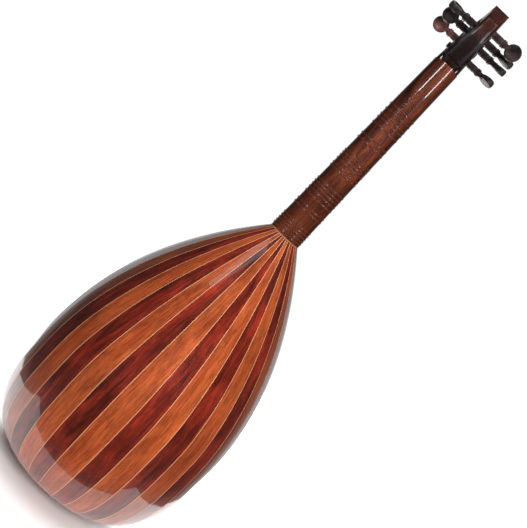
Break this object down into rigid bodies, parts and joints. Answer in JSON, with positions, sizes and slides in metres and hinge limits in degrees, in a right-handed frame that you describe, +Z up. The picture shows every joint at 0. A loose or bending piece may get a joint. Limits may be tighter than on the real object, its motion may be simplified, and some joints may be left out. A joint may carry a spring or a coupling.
{
  "type": "long-necked bowl lute",
  "caption": "Long-necked plucked lute with a deep bowl of bent alternating staves, tied frets, and a pegbox bent back in a curve with turning pegs through its cheeks.",
  "frame": {"origin": "on the bowl's face plane at the middle of the tail", "axes": "+Z up the neck, +Y out of the back of the bowl, +X across to the player's bass side when the face looks at you"},
  "size_m": [0.3002, 0.1795, 0.8401],
  "materials": {
    "rib_light": "high gloss lacquer over orange-brown wood",
    "rib_dark": "high gloss lacquer over deep red-brown wood",
    "purfling": "gloss, pale line",
    "neck_wood": "high gloss red-brown",
    "pegbox_wood": "high gloss dark brown",
    "peg_wood": "polished dark wood",
    "peg_red_wood": "polished red-brown wood",
    "soundboard": "satin straight-grained softwood",
    "inside_wood": "bare softwood",
    "dark_trim": "satin dark wood",
    "rosette_wood": "satin pierced wood",
    "bridge_wood": "satin dark wood",
    "fingerboard_wood": "satin near-black wood",
    "bone": "polished bone",
    "spacer": "gloss pale wood",
    "fret_gut": "smooth translucent brown line",
    "string_plain": "clear plain string",
    "string_wound": "wound string"
  },
  "bodies": {
    "instrument": {"stave_right_8": "rib_light", "stave_right_7": "rib_dark", "stave_right_6": "rib_light", "stave_right_5": "rib_dark", "stave_right_4": "rib_light", "stave_right_3": "rib_dark", "stave_right_2": "rib_light", "stave_right_1": "rib_dark", "stave_centre": "rib_light", "stave_left_1": "rib_dark", "stave_left_2": "rib_light", "stave_left_3": "rib_dark", "stave_left_4": "rib_light", "stave_left_5": "rib_dark", "stave_left_6": "rib_light", "stave_left_7": "rib_dark", "stave_left_8": "rib_light", "purfling_lines": "purfling", "tail_cap": "rib_dark", "tail_block": "inside_wood", "neck_block": "inside_wood", "soundboard": "soundboard", "edge_binding": "dark_trim", "rosette": "rosette_wood", "rosette_ring": "dark_trim", "soundboard_braces": "inside_wood", "neck": "neck_wood", "joint_spacer": "spacer", "fingerboard": "fingerboard_wood", "nut": "bone", "tied_frets": "fret_gut", "bridge": "bridge_wood", "pegbox_cheek_left": "pegbox_wood", "pegbox_cheek_right": "pegbox_wood", "pegbox_back": "pegbox_wood", "pegbox_end_block": "pegbox_wood", "string_course_1": "string_wound", "string_course_2": "string_plain", "string_course_3": "string_plain", "string_course_4": "string_plain"},
    "peg_1_turning": {"peg_1": "peg_wood", "winding_1": "string_wound"},
    "peg_2_turning": {"peg_2": "peg_red_wood", "winding_2": "string_plain"},
    "peg_3_turning": {"peg_3": "peg_wood", "winding_3": "string_plain"},
    "peg_4_turning": {"peg_4": "peg_wood", "winding_4": "string_plain"},
    "peg_5_turning": {"peg_5": "peg_wood", "winding_5": "string_plain"},
    "peg_6_turning": {"peg_6": "peg_wood", "winding_6": "string_plain"},
    "peg_7_turning": {"peg_7": "peg_wood", "winding_7": "string_plain"}
  },
  "joints": [
    {"name": "peg_1_turn", "type": "hinge", "parent": "instrument", "child": "peg_1_turning", "pos_m": [0, 0.02397, 0.78806], "axis": [-1, 0, 0], "continuous": true},
    {"name": "peg_2_turn", "type": "hinge", "parent": "instrument", "child": "peg_2_turning", "pos_m": [0, 0.03674, 0.79766], "axis": [1, 0, 0], "continuous": true},
    {"name": "peg_3_turn", "type": "hinge", "parent": "instrument", "child": "peg_3_turning", "pos_m": [0, 0.05128, 0.80427], "axis": [-1, 0, 0], "continuous": true},
    {"name": "peg_4_turn", "type": "hinge", "parent": "instrument", "child": "peg_4_turning", "pos_m": [0, 0.06677, 0.80818], "axis": [1, 0, 0], "continuous": true},
    {"name": "peg_5_turn", "type": "hinge", "parent": "instrument", "child": "peg_5_turning", "pos_m": [0, 0.08259, 0.81061], "axis": [-1, 0, 0], "continuous": true},
    {"name": "peg_6_turn", "type": "hinge", "parent": "instrument", "child": "peg_6_turning", "pos_m": [0, 0.09836, 0.81326], "axis": [1, 0, 0], "continuous": true},
    {"name": "peg_7_turn", "type": "hinge", "parent": "instrument", "child": "peg_7_turning", "pos_m": [0, 0.1137, 0.81776], "axis": [-1, 0, 0], "continuous": true}
  ]
}
